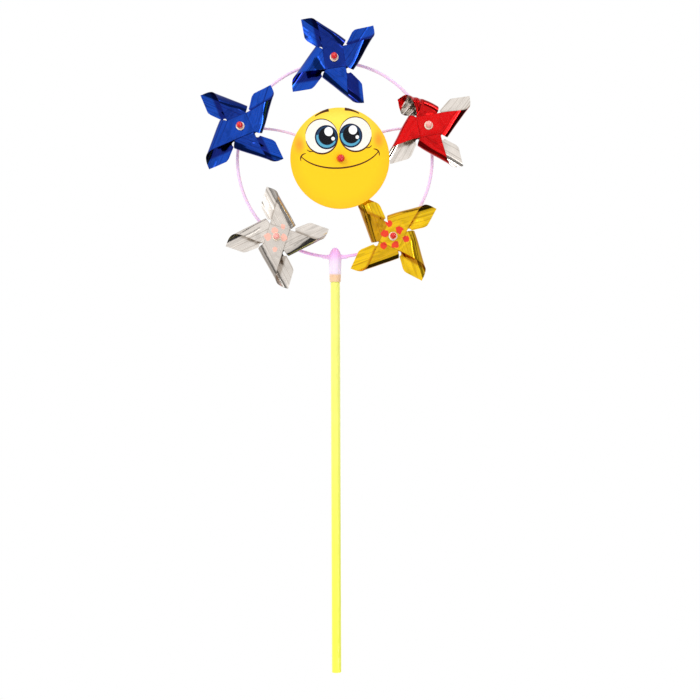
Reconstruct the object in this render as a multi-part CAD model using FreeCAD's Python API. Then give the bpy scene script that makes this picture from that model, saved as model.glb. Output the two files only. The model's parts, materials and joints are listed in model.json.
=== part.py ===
import FreeCAD, Part
import math
import os

# A hand-held wind toy: a hollow stick carries a moulded plastic hoop. Five small
# four-petal foil wheels spin on pins around the hoop, and a printed face disc is
# pinned to a post in the middle.
#
# Frame: +Z up along the stick, the wheels face -Y, +X to the right as seen from
# the front. The origin is the centre of the stick's lower end. Millimetres.

# ------------------------------------------------------------ driving dimensions
STICK_LENGTH = 300.0
STICK_DIAMETER = 7.1
STICK_WALL = 0.6
STICK_NECK_HEIGHT = 292.0   # above this the stick is necked to fit the socket
STICK_NECK_DEPTH = 0.2      # radial

HOOP_RADIUS = 73.0          # to the middle of the rod
HOOP_ROD_DIAMETER = 2.4
HOOP_CENTRE_HEIGHT = 384.3

SOCKET_FOOT_HEIGHT = 292.5  # lower mouth of the socket
SOCKET_TOP_HEIGHT = 318.4
SOCKET_FOOT_RADIUS = 4.15
SOCKET_BELT_RADIUS = 4.75   # widest ring, just under the hoop
SOCKET_BELT_HEIGHT = 309.0
SOCKET_CORE_RADIUS = 2.6    # hollow above the stick's end
STICK_GLUE_GAP = 0.02       # radial, between the stick and the socket

POST_RADIUS = 2.6           # the five posts that hold the wheel pins
POST_BACK = 2.2             # how far a post stands behind the hoop's plane
POST_FRONT = 6.0            # and in front of it

ARM_ROD_DIAMETER = 2.0
ARM_RISE = 8.6              # how far an arm bows upward from its straight chord

BLANK_HALF_SIDE = 34.1      # half of the square foil blank
SLIT_DEPTH = 15.2           # side of each folded corner square
CENTRE_HALF_SIDE = 8.0      # half of the uncut square in the middle
SLIT_WIDTH = 0.4
RELIEF_RADIUS = 2.0         # round opening at the inner end of each slit
ROLL_SETBACK = 2.2          # the rolls start this far from the slit's line
FOIL = 0.2                  # foil thickness
ROLL_RADIUS = 4.5           # bend of the innermost petal
TIP_PITCH = 0.3             # step between the four stacked petal tips

PIN_RADIUS = 0.95
PIN_HEAD_RADIUS = 2.35
PIN_HEAD_LENGTH = 8.0
PIN_PRESS = 0.02            # radial interference of a pin in its post
RUNNING_GAP = 0.05          # radial, between a pin and what turns on it
END_GAP = 0.3               # along the pin, between a wheel and its neighbours

BUSH_RADIUS = 1.7
BUSH_FLANGE_RADIUS = 3.15
BUSH_FLANGE_THICKNESS = 1.0
COLLAR_RADIUS = 2.7
COLLAR_THICKNESS = 2.5
STACK_GAP = 0.05            # between parts that are assembled on the bush

FACE_RADIUS = 37.0
FACE_THICKNESS = 1.2
FACE_EDGE_ROUND = 0.4
FACE_LEAN = 10.5            # degrees that the face post leans to the right
FACE_DROOP = 5.0            # degrees that it leans down
FACE_POST_LENGTH = 22.2
FACE_POST_FOOT_RADIUS = 3.4
FACE_POST_TIP_RADIUS = 2.6
FACE_PIN_HEAD_RADIUS = 2.9
FACE_PIN_HEAD_LENGTH = 5.0
FACE_PIN_DEPTH = 9.0        # how deep the face pin sits in its post
FACE_END_GAP = 0.1

# Each wheel: place on the hoop (degrees from +X towards +Z), how far its foil
# blank is turned about its own pin, and the way it is folded (the gold wheel, at
# the lower right, is folded the other way round: -1).
WHEELS = {
    "top": (90.0, 98.5, 1),
    "upper_left": (162.0, 203.0, 1),
    "lower_left": (234.0, 252.4, 1),
    "lower_right": (306.0, 64.5, -1),
    "upper_right": (18.0, 10.5, 1),
}
ARM_ENDS = ("upper_left", "upper_right")

# ------------------------------------------------------------- derived dimensions
DIAGONAL = math.sqrt(2.0)
PETAL_REACH = (BLANK_HALF_SIDE - SLIT_DEPTH / 2.0) * DIAGONAL  # centre to tip hole
NOTCH = (BLANK_HALF_SIDE - SLIT_DEPTH) * DIAGONAL
BLANK_CORNER = BLANK_HALF_SIDE * DIAGONAL
TIP_HALF_DIAGONAL = SLIT_DEPTH / DIAGONAL
CENTRE_CORNER = CENTRE_HALF_SIDE * DIAGONAL
RELIEF_PLACE = CENTRE_CORNER + RELIEF_RADIUS - 0.3             # centre of an opening
PETALS = 4
FOIL_STACK = 2.0 * ROLL_RADIUS + (PETALS - 1) * TIP_PITCH + FOIL

COLLAR_BACK = POST_FRONT + END_GAP
FOIL_BACK = COLLAR_BACK + COLLAR_THICKNESS + STACK_GAP
FLANGE_BACK = FOIL_BACK + FOIL_STACK + STACK_GAP
FLANGE_FRONT = FLANGE_BACK + BUSH_FLANGE_THICKNESS
PIN_HEAD_BACK = FLANGE_FRONT + END_GAP
PIN_TAIL = -1.0             # the pins end just behind the hoop's plane
FACE_BACK = FACE_POST_LENGTH + FACE_END_GAP
FACE_FRONT = FACE_BACK + FACE_THICKNESS

ORIGIN = FreeCAD.Vector(0, 0, 0)
X_AXIS = FreeCAD.Vector(1, 0, 0)
Y_AXIS = FreeCAD.Vector(0, 1, 0)
Z_AXIS = FreeCAD.Vector(0, 0, 1)
HOOP_CENTRE = FreeCAD.Vector(0, 0, HOOP_CENTRE_HEIGHT)


# ------------------------------------------------------------------------ helpers
def tube(outer, inner, low, high):
    """A round tube about local Z from low to high; inner 0 gives a rod."""
    length = high - low
    body = Part.makeCylinder(outer, length, FreeCAD.Vector(0, 0, low), Z_AXIS)
    if inner > 0:
        body = body.cut(Part.makeCylinder(inner, length, FreeCAD.Vector(0, 0, low), Z_AXIS))
    return body


def on_hoop(place):
    """Centre of a post on the hoop, at an angle from +X towards +Z."""
    angle = math.radians(place)
    return HOOP_CENTRE + FreeCAD.Vector(HOOP_RADIUS * math.cos(angle), 0, HOOP_RADIUS * math.sin(angle))


def face_forward(shape, centre):
    """Turn local Z to the front (-Y) and local Y to up, then move to centre."""
    shape.rotate(ORIGIN, X_AXIS, 90)
    shape.translate(centre)
    return shape


def lean_face(shape):
    """Put a part of the face, built about local Z, on the leaning face post."""
    shape.rotate(ORIGIN, X_AXIS, 90 + FACE_DROOP)
    shape.rotate(ORIGIN, Z_AXIS, FACE_LEAN)
    shape.translate(HOOP_CENTRE)
    return shape


def prism(points, low, thickness):
    """A flat plate: an outline in local X and Y, standing from low upward."""
    corners = [FreeCAD.Vector(x, y, low) for x, y in points]
    outline = Part.makePolygon(corners + corners[:1])
    return Part.Face(outline).extrude(FreeCAD.Vector(0, 0, thickness))


# ------------------------------------------------------------------ stick and hoop
def stick():
    radius = STICK_DIAMETER / 2.0
    bore = radius - STICK_WALL
    plain = tube(radius, bore, 0, STICK_NECK_HEIGHT)
    neck = tube(radius - STICK_NECK_DEPTH, bore, STICK_NECK_HEIGHT, STICK_LENGTH)
    return plain.fuse(neck).removeSplitter()


def socket():
    """Tapered sleeve with a bullet-shaped closed top, as one turned profile."""
    foot = FreeCAD.Vector(SOCKET_FOOT_RADIUS, 0, SOCKET_FOOT_HEIGHT)
    belt = FreeCAD.Vector(SOCKET_BELT_RADIUS, 0, SOCKET_BELT_HEIGHT)
    top = FreeCAD.Vector(0, 0, SOCKET_TOP_HEIGHT)
    axis_foot = FreeCAD.Vector(0, 0, SOCKET_FOOT_HEIGHT)
    ellipse = Part.Ellipse(top, belt, FreeCAD.Vector(0, 0, SOCKET_BELT_HEIGHT))
    dome = Part.ArcOfEllipse(ellipse, 0, math.pi / 2.0).toShape()
    edges = [
        Part.makeLine(axis_foot, foot),
        Part.makeLine(foot, belt),
        dome,
        Part.makeLine(top, axis_foot),
    ]
    profile = Part.Wire(Part.__sortEdges__(edges))
    return Part.Face(profile).revolve(ORIGIN, Z_AXIS, 360)


def socket_hollow():
    """The stick's seat, and the narrower hollow above the stick's end."""
    seat_radius = STICK_DIAMETER / 2.0 - STICK_NECK_DEPTH + STICK_GLUE_GAP
    seat = tube(seat_radius, 0, SOCKET_FOOT_HEIGHT - 1.0, STICK_LENGTH + STICK_GLUE_GAP)
    core = tube(SOCKET_CORE_RADIUS, 0, STICK_LENGTH, SOCKET_BELT_HEIGHT)
    return seat.fuse(core)


def hoop_flare(side):
    """The rod swells where it meets the socket; side is -1 or +1."""
    foot = FreeCAD.Vector(side * 3.0, 0, HOOP_CENTRE_HEIGHT - HOOP_RADIUS)
    rod = HOOP_ROD_DIAMETER / 2.0
    return Part.makeCone(rod * 1.9, rod, 6.5, foot, FreeCAD.Vector(side, 0, 0))


def arm(place):
    """A bowed rod from a post on the hoop to the middle."""
    start = HOOP_CENTRE
    end = on_hoop(place)
    along = end - start
    upward = FreeCAD.Vector(-along.z, 0, along.x)
    if upward.z < 0:
        upward = upward * -1.0
    upward.normalize()
    crest = (start + end) * 0.5 + upward * ARM_RISE
    path = Part.Arc(start, crest, end)
    section = Part.makeCircle(ARM_ROD_DIAMETER / 2.0, start, path.tangent(path.FirstParameter)[0])
    return Part.Wire(path.toShape()).makePipeShell([Part.Wire(section)], True, False)


def post():
    """A wheel post about local Z, without its pin hole."""
    return tube(POST_RADIUS, 0, -POST_BACK, POST_FRONT)


def face_post():
    """The tapered post that carries the face, with a rounded heel behind."""
    post_body = Part.makeCone(FACE_POST_FOOT_RADIUS, FACE_POST_TIP_RADIUS, FACE_POST_LENGTH)
    heel = Part.makeSphere(FACE_POST_FOOT_RADIUS)
    return post_body.fuse(heel)


def pin_hole(tail, mouth):
    """Cutter for a pressed pin, from its blind end to past the post's face."""
    return tube(PIN_RADIUS - PIN_PRESS, 0, tail, mouth + 1.0)


def hoop_frame():
    """Hoop, socket, posts, arms and face post, moulded as one piece."""
    body = Part.makeTorus(HOOP_RADIUS, HOOP_ROD_DIAMETER / 2.0, HOOP_CENTRE, Y_AXIS)
    solids = [socket(), hoop_flare(-1), hoop_flare(1), lean_face(face_post())]
    solids += [face_forward(post(), on_hoop(place)) for place, _, _ in WHEELS.values()]
    solids += [arm(WHEELS[name][0]) for name in ARM_ENDS]
    body = body.multiFuse(solids)
    cutters = [socket_hollow()]
    cutters += [
        face_forward(pin_hole(PIN_TAIL, POST_FRONT), on_hoop(place))
        for place, _, _ in WHEELS.values()
    ]
    cutters.append(lean_face(pin_hole(FACE_POST_LENGTH - FACE_PIN_DEPTH, FACE_POST_LENGTH)))
    return body.cut(cutters).removeSplitter()


# --------------------------------------------------------------------- foil wheels
def petal(index):
    """One petal of a wheel. The foil lies flat behind, bends forward over a roll
    and comes back so that its corner square ends over the wheel's centre. Local X
    points from the centre to the roll, local Y runs along the roll, Z is forward.
    """
    radius = ROLL_RADIUS + index * TIP_PITCH / 2.0
    flat = (PETAL_REACH - math.pi * radius) / 2.0   # where the bend begins
    bend_end = flat + math.pi * radius              # measured along the foil
    edge = SLIT_WIDTH / 2.0

    def outer_edge(run):
        """Width along the roll of the free edge, at a run along the foil."""
        return BLANK_CORNER - run

    back = prism([
        (CENTRE_CORNER, edge),
        (flat, edge),
        (flat, outer_edge(flat)),
        (TIP_HALF_DIAGONAL, PETAL_REACH),
        (edge, NOTCH + edge),
        (edge, CENTRE_CORNER),
        (CENTRE_CORNER / 4.0, CENTRE_CORNER / 4.0),
    ], 0, FOIL)

    sections = []
    steps = 8
    for step in range(steps + 1):
        turn = math.pi * step / steps
        reach = outer_edge(flat + radius * turn)
        corners = []
        for offset, width in ((-1, ROLL_SETBACK), (-1, reach), (1, reach), (1, ROLL_SETBACK)):
            bend = radius + offset * FOIL / 2.0
            height = radius + FOIL / 2.0 - bend * math.cos(turn)
            corners.append(FreeCAD.Vector(flat + bend * math.sin(turn), width, height))
        sections.append(Part.makePolygon(corners + corners[:1]))
    roll = Part.makeLoft(sections, True, False)

    def folded(run, width):
        """A point of the front layer, which runs back towards the centre."""
        return (flat - (run - bend_end), width)

    front = prism([
        folded(bend_end, ROLL_SETBACK),
        folded(NOTCH, 0),
        folded(PETAL_REACH, -TIP_HALF_DIAGONAL),
        folded(BLANK_CORNER, 0),
        folded(bend_end, outer_edge(bend_end)),
    ], 2.0 * radius, FOIL)
    return [back, roll, front]


def foil_wheel(place, turn, hand):
    """Four petals and the centre square of one slit and folded foil blank."""
    half = CENTRE_HALF_SIDE
    wheel = prism([(-half, -half), (half, -half), (half, half), (-half, half)], 0, FOIL)
    pieces = []
    for index in range(PETALS):
        for piece in petal(index):
            piece.rotate(ORIGIN, Z_AXIS, 45.0 + 90.0 * index)
            pieces.append(piece)
    wheel = wheel.multiFuse(pieces)
    holes = [tube(BUSH_RADIUS + STACK_GAP, 0, -1.0, FOIL_STACK + 1.0)]
    for index in range(PETALS):
        relief = tube(RELIEF_RADIUS, 0, -1.0, 2.0 * FOIL)
        relief.translate(X_AXIS * RELIEF_PLACE)
        relief.rotate(ORIGIN, Z_AXIS, 45.0 + 90.0 * index)
        holes.append(relief)
    wheel = wheel.cut(holes).removeSplitter()
    if hand < 0:
        wheel = wheel.mirror(ORIGIN, Y_AXIS)
    wheel.rotate(ORIGIN, Z_AXIS, turn)
    wheel.translate(FreeCAD.Vector(0, 0, FOIL_BACK))
    return face_forward(wheel, on_hoop(place))


def bush(place):
    """Flanged sleeve through the foil; it turns on the pin with the wheel."""
    bore = PIN_RADIUS + RUNNING_GAP
    sleeve = tube(BUSH_RADIUS, bore, COLLAR_BACK, FLANGE_FRONT)
    flange = tube(BUSH_FLANGE_RADIUS, bore, FLANGE_BACK, FLANGE_FRONT)
    return face_forward(sleeve.fuse(flange).removeSplitter(), on_hoop(place))


def collar(place):
    """Ring pushed on the bush behind the foil, to hold the back sheet."""
    ring = tube(COLLAR_RADIUS, BUSH_RADIUS + STICK_GLUE_GAP, COLLAR_BACK, COLLAR_BACK + COLLAR_THICKNESS)
    return face_forward(ring, on_hoop(place))


def headed_pin(tail, head_back, head_radius, head_length):
    """A thin shank with a round-ended head, about local Z."""
    dome_foot = head_back + head_length - head_radius
    shank = tube(PIN_RADIUS, 0, tail, head_back + 0.5)
    barrel = tube(head_radius, 0, head_back, dome_foot)
    dome = Part.makeSphere(head_radius, FreeCAD.Vector(0, 0, dome_foot), Z_AXIS, 0, 90, 360)
    return shank.multiFuse([barrel, dome]).removeSplitter()


def wheel_pin(place):
    return face_forward(headed_pin(PIN_TAIL, PIN_HEAD_BACK, PIN_HEAD_RADIUS, PIN_HEAD_LENGTH), on_hoop(place))


# ---------------------------------------------------------------------------- face
def face_disc():
    """Round plate with softened edges and a running hole for its pin."""
    plate = tube(FACE_RADIUS, 0, FACE_BACK, FACE_FRONT)
    plate = plate.makeFillet(FACE_EDGE_ROUND, [e for e in plate.Edges if e.Closed and e.Length > FACE_RADIUS])
    hole = tube(PIN_RADIUS + RUNNING_GAP, 0, FACE_BACK - 1.0, FACE_FRONT + 1.0)
    return lean_face(plate.cut(hole))


def face_pin():
    head_back = FACE_FRONT + FACE_END_GAP
    tail = FACE_POST_LENGTH - FACE_PIN_DEPTH
    return lean_face(headed_pin(tail, head_back, FACE_PIN_HEAD_RADIUS, FACE_PIN_HEAD_LENGTH))


# -------------------------------------------------------------------------- output
def all_parts():
    parts = {
        "stick": stick(),
        "hoop_frame": hoop_frame(),
        "face_disc": face_disc(),
        "face_pin": face_pin(),
    }
    for name, (place, turn, hand) in WHEELS.items():
        parts["foil_" + name] = foil_wheel(place, turn, hand)
        parts["bush_" + name] = bush(place)
        parts["collar_" + name] = collar(place)
        parts["pin_" + name] = wheel_pin(place)
    return parts


def main():
    os.makedirs("parts", exist_ok=True)
    for name, shape in all_parts().items():
        shape.exportStep(os.path.join("parts", name + ".step"))
        box = shape.BoundBox
        print(name, len(shape.Solids), shape.isValid(), round(shape.Volume, 1),
              [round(v, 1) for v in (box.XMin, box.XMax, box.YMin, box.YMax, box.ZMin, box.ZMax)])


main()
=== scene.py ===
import json
import random
from math import asin, atan2, ceil, cos, degrees, hypot, pi, radians, sin, sqrt, tan

import bmesh
import bpy
from mathutils import Matrix, Vector


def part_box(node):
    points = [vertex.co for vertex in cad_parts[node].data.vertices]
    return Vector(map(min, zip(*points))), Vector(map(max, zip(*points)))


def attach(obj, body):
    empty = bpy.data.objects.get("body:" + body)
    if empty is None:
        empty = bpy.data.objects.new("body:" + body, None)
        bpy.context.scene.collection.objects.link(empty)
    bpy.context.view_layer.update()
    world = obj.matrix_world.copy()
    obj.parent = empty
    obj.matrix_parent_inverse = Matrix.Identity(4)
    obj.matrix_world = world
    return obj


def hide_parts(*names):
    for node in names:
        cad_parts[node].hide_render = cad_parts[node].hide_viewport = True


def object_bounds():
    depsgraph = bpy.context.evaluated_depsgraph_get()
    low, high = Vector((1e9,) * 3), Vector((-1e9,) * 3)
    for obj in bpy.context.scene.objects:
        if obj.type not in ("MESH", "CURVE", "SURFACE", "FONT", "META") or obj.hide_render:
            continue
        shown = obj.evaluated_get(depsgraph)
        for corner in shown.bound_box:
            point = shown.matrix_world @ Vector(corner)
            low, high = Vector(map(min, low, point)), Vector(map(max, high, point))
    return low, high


# The looks of a wind toy: a hollow yellow stick, a translucent pink hoop, five
# folded foil wheels and a printed face disc. Metres, in the CAD frame: +Z up,
# the wheels face -Y, the origin is the foot of the stick.

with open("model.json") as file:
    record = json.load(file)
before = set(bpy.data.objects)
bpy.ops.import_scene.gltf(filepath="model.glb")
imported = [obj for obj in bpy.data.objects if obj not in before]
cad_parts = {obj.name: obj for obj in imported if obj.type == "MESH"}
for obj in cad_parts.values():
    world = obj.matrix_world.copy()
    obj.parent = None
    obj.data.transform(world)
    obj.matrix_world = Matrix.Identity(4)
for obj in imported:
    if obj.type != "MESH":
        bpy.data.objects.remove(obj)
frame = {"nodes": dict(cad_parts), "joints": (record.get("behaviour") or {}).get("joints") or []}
scene = bpy.context.scene
cad_low, cad_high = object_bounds()

MM = 0.001
UP = Vector((0, 0, 1))
STILL = Matrix.Identity(4)
TURN = 2 * pi

WHEELS = ("top", "upper_left", "lower_left", "lower_right", "upper_right")
JOINTS = {joint["name"]: joint for joint in frame["joints"]}


# ---- sizes from the frame
def hinge(name):
    """A point on the joint's axis, and the axis."""
    joint = JOINTS[name]
    return Vector(joint["pos_m"]), Vector(joint["axis"]).normalized()


def measured(node, origin, axis):
    """Lowest and highest distance along an axis from origin, the largest radius about
    the axis, and the point that has it."""
    along, radius, far = [], 0.0, None
    for vertex in frame["nodes"][node].data.vertices:
        offset = vertex.co - origin
        along.append(offset.dot(axis))
        away = (offset - axis * along[-1]).length
        if away > radius:
            radius, far = away, vertex.co.copy()
    return min(along), max(along), radius, far


def axis_frame(origin, axis):
    """Local x to the viewer's right, y up, z along the axis (forward)."""
    right = UP.cross(axis).normalized()
    up = axis.cross(right)
    turn = Matrix((right, up, axis)).transposed().to_4x4()
    return Matrix.Translation(origin) @ turn


# ---- mesh helpers
def new_object(name, mesh, materials):
    for material in materials:
        mesh.materials.append(material)
    piece = bpy.data.objects.new(name, mesh)
    scene.collection.objects.link(piece)
    return piece


def mesh_of(name, points, faces, place=STILL):
    mesh = bpy.data.meshes.new(name)
    mesh.from_pydata([tuple(place @ Vector(point)) for point in points], [], faces)
    mesh.validate()
    mesh.polygons.foreach_set("use_smooth", [True] * len(mesh.polygons))
    mesh.update()
    return mesh


def weave(rows, columns, wrap=True):
    """Faces between rows of points; wrap joins the last column to the first."""
    faces = []
    for low in range(0, (rows - 1) * columns, columns):
        high = low + columns
        for step in range(columns if wrap else columns - 1):
            after = (step + 1) % columns
            faces.append((low + step, high + step, high + after, low + after))
    return faces


def lathe_data(profile, segments, closed=False):
    """A profile (radius, height) turned about z. An open profile starts and ends on
    the axis; a closed one makes a ring."""
    points, faces, rings = [], [], []
    for radius, height in profile:
        count = segments if radius > 1e-9 else 1
        rings.append(range(len(points), len(points) + count))
        for step in range(count):
            angle = TURN * step / segments
            points.append((radius * cos(angle), radius * sin(angle), height))
    for low, high in zip(rings, rings[1:] + rings[:1] if closed else rings[1:]):
        for step in range(segments):
            after = (step + 1) % segments
            corners = [low[step % len(low)], low[after % len(low)],
                       high[after % len(high)], high[step % len(high)]]
            faces.append(tuple(dict.fromkeys(corners)))
    return points, faces


def rounded(corners, radius, steps=4):
    """A closed profile with every corner rounded."""
    result = []
    count = len(corners)
    for index in range(count):
        here = Vector(corners[index])
        before = Vector(corners[index - 1]) - here
        after = Vector(corners[(index + 1) % count]) - here
        cut = min(radius, before.length * 0.45, after.length * 0.45)
        start = here + before.normalized() * cut
        end = here + after.normalized() * cut
        for step in range(steps + 1):
            t = step / steps
            point = start * (1 - t) ** 2 + here * 2 * t * (1 - t) + end * t * t
            result.append((point.x, point.y))
    return result


def sweep_data(path, radii, segments):
    """A closed rod along a list of points in the x-z plane."""
    points = []
    count = len(path)
    for index, point in enumerate(path):
        ahead = path[min(index + 1, count - 1)] - path[max(index - 1, 0)]
        side = Vector((0, 1, 0))
        lift = ahead.normalized().cross(side)
        for step in range(segments):
            angle = TURN * step / segments
            offset = side * cos(angle) + lift * sin(angle)
            points.append(point + offset * radii[index])
    faces = weave(count, segments)
    faces.append(tuple(range(segments))[::-1])
    faces.append(tuple((count - 1) * segments + step for step in range(segments)))
    return points, faces


def face_outward(piece):
    shell = bmesh.new()
    shell.from_mesh(piece.data)
    bmesh.ops.recalc_face_normals(shell, faces=shell.faces)
    shell.to_mesh(piece.data)
    shell.free()


def apply_modifiers(piece):
    graph = bpy.context.evaluated_depsgraph_get()
    mesh = bpy.data.meshes.new_from_object(piece.evaluated_get(graph))
    piece.modifiers.clear()
    piece.data = mesh


def sheet_object(name, sheet, materials):
    mesh = bpy.data.meshes.new(name)
    sheet.to_mesh(mesh)
    sheet.free()
    return new_object(name, mesh, materials)


def stand_in(piece, body, node):
    """Ties a piece to its body, in place of a CAD node."""
    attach(piece, body)
    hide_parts(node)
    return piece


# ---- material helpers
class Shader:
    """A node tree under construction. Inputs may be numbers, colours or sockets."""

    def __init__(self, tree, output):
        self.tree = tree
        self.tree.nodes.clear()
        self.output = self.tree.nodes.new("ShaderNode" + output)

    def node(self, kind, inputs=None, **settings):
        made = self.tree.nodes.new("ShaderNode" + kind)
        for key, value in settings.items():
            setattr(made, key, value)
        for key, value in (inputs or {}).items():
            self.plug(made.inputs[key], value)
        return made

    def plug(self, target, value):
        if isinstance(value, bpy.types.NodeSocket):
            self.tree.links.new(value, target)
            return
        if target.type == "RGBA" and len(value) == 3:
            value = (*value, 1.0)
        target.default_value = value

    def show(self, surface):
        self.plug(self.output.inputs["Surface"], surface)

    def math(self, operation, first, second=0.0):
        return self.node("Math", {0: first, 1: second}, operation=operation).outputs[0]

    def times(self, first, second):
        return self.math("MULTIPLY", first, second)

    def less(self, first, second):
        return self.math("SUBTRACT", first, second)

    def length(self, x, y):
        return self.math("SQRT", self.math("ADD", self.times(x, x), self.times(y, y)))

    def smooth(self, value, low, high):
        """Smooth step of value from low to high."""
        limits = {"Value": value, "From Min": low, "From Max": high}
        return self.node("MapRange", limits, interpolation_type="SMOOTHSTEP").outputs[0]

    def remap(self, value, low, high, start=0.0, end=1.0):
        """Value, which goes from start to end, mapped in a straight line to low to high."""
        limits = {"Value": value, "From Min": start, "From Max": end, "To Min": low, "To Max": high}
        return self.node("MapRange", limits).outputs[0]

    def mix(self, share, first, second):
        return self.node("Mix", {0: share, 6: first, 7: second}, data_type="RGBA").outputs[2]

    def mix_value(self, share, first, second):
        return self.node("Mix", {0: share, 2: first, 3: second}, data_type="FLOAT").outputs[0]

    def choose(self, share, first, second):
        """Shows the first surface where share is 0 and the second where it is 1."""
        self.show(self.node("MixShader", {0: share, 1: first, 2: second}).outputs[0])

    def noise(self, vector, scale, detail=2.0):
        values = {"Vector": vector, "Scale": scale, "Detail": detail}
        return self.node("TexNoise", values).outputs["Fac"]

    def bump(self, height, strength, distance):
        values = {"Height": height, "Strength": strength, "Distance": distance}
        return self.node("Bump", values).outputs[0]

    def stretched(self, vector, scale, turn=(0, 0, 0)):
        values = {"Vector": vector, "Scale": scale, "Rotation": turn}
        return self.node("Mapping", values).outputs[0]

    def parts(self, vector):
        return self.node("SeparateXYZ", {"Vector": vector}).outputs

    def object_point(self):
        return self.node("TexCoord").outputs["Object"]

    def flat_map(self, layer):
        return self.node("UVMap", uv_map=layer).outputs[0]

    def attribute(self, layer):
        return self.node("Attribute", attribute_name=layer).outputs["Fac"]


def new_shader(name):
    material = bpy.data.materials.new(name)
    material.use_nodes = True
    return material, Shader(material.node_tree, "OutputMaterial")


def principled(shader, **values):
    """A Principled surface; underscores in names stand for spaces."""
    inputs = {key.replace("_", " "): value for key, value in values.items()}
    made = shader.node("BsdfPrincipled", inputs)
    shader.show(made.outputs[0])
    return made


# ---- materials
def shade(tint, share):
    return tuple(value * share for value in tint)


def foil_material(name, tint, print_tint=None, blobs=(), seed=0, dullest=0.13):
    """A tinted mirror under thin lacquer, with a faint ripple and fine scuffs. Painted
    reflection streaks along each roll, the sheet's tone (painted reflection and shade)
    and painted shade in narrow gaps dim it towards a darker painted shade tint."""
    material, s = new_shader(name)
    point = s.object_point()
    # Painted shade: the darker tint that the streaks, the tone and the gaps pull the foil towards.
    painted_shade_tint = tuple(value ** 2.2 * 0.5 for value in tint)
    base = s.mix(s.smooth(s.noise(point, 25.0), 0.35, 0.7), tint, shade(tint, 0.86))
    # Painted reflection streaks: bands across each roll darken the foil.
    reflection_streak_run = {"W": s.attribute("reflection_streak_run"), "Scale": 0.9, "Detail": 3.0}
    painted_reflection_streak = s.node("TexNoise", reflection_streak_run, noise_dimensions="1D").outputs["Fac"]
    base = s.mix(s.times(s.smooth(painted_reflection_streak, 0.55, 0.72), 0.6), base, painted_shade_tint)
    # Painted reflection and shade from the sheet's tone attribute.
    base = s.mix(s.attribute("tone"), painted_shade_tint, base)
    # Painted shade: ambient occlusion darkens film where other film lies near.
    gap = {"Distance": GAP_SHADE}
    gap_painted_shade = s.node("AmbientOcclusion", gap, samples=8).outputs["AO"]
    base = s.mix(s.smooth(gap_painted_shade, 0.12, 0.80), shade(painted_shade_tint, 0.2), base)
    metal = 1.0
    if print_tint:
        ink = hub_print(s, blobs)
        base = s.mix(ink, base, print_tint)
        metal = s.less(1.0, s.times(ink, 0.7))
    ripple = s.noise(s.stretched(point, (1, 1, 1), (seed, seed * 2, 0)), 90.0, 3.0)
    rough = s.remap(s.noise(point, 900.0), dullest * 0.4, dullest)
    principled(s, Base_Color=base, Metallic=metal, Roughness=rough, Normal=s.bump(ripple, 0.25, 0.0006),
               Coat_Weight=0.22, Coat_Roughness=0.03)
    return material


def hub_print(s, blobs):
    """Mask of printed blobs (angle, distance from the hub, radius) with uneven edges."""
    place = s.flat_map("wheel")
    parts = s.parts(place)
    nearest = 99.0
    for around, away, size in blobs:
        dx = s.less(parts[0], away * cos(radians(around)))
        dy = s.less(parts[1], away * sin(radians(around)))
        nearest = s.math("MINIMUM", nearest, s.less(s.length(dx, dy), size))
    wobble = s.times(s.noise(s.stretched(place, (0.35, 0.35, 0.35)), 1.0, 1.0), 3.0)
    return s.less(1.0, s.smooth(s.math("ADD", nearest, wobble), 1.2, 1.7))


def plastic_material(name, tint, roughness=0.28, subsurface=0.0, transmission=0.0, flow=0.0,
                     coat=0.0, bands=(), rim=None):
    """Moulded plastic with fine orange-peel and faint flow marks. Each entry of bands
    (height from, height to, tint) tints what lies below it; rim is a painted sheen,
    seen at a grazing angle."""
    material, s = new_shader(name)
    point = s.object_point()
    drift = s.noise(point, 40.0)
    base = s.mix(s.smooth(drift, 0.3, 0.75), tint, shade(tint, 0.9))
    height = s.parts(point)[2]
    for low, high, band_tint in bands:
        base = s.mix(s.less(1.0, s.smooth(height, low, high)), base, band_tint)
    # Painted sheen: a paler rim where the surface is seen at a grazing angle.
    if rim:
        facing = s.node("LayerWeight", {"Blend": 0.35}).outputs["Facing"]
        base = s.mix(s.smooth(facing, 0.2, 0.9), base, rim)
    peel = s.noise(point, 1500.0)
    marks = s.noise(s.stretched(point, (900, 900, 12)), 1.0)
    relief = s.math("ADD", s.times(peel, 1.0 - flow), s.times(marks, flow))
    rough = s.remap(drift, roughness * 0.8, roughness * 1.25)
    principled(s, Base_Color=base, Roughness=rough, Normal=s.bump(relief, 0.1, 0.00006),
               Subsurface_Weight=subsurface, Subsurface_Radius=(0.004, 0.003, 0.002),
               Subsurface_Scale=1.0, Transmission_Weight=transmission, IOR=1.47,
               Coat_Weight=coat, Coat_Roughness=0.08)
    return material


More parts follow.
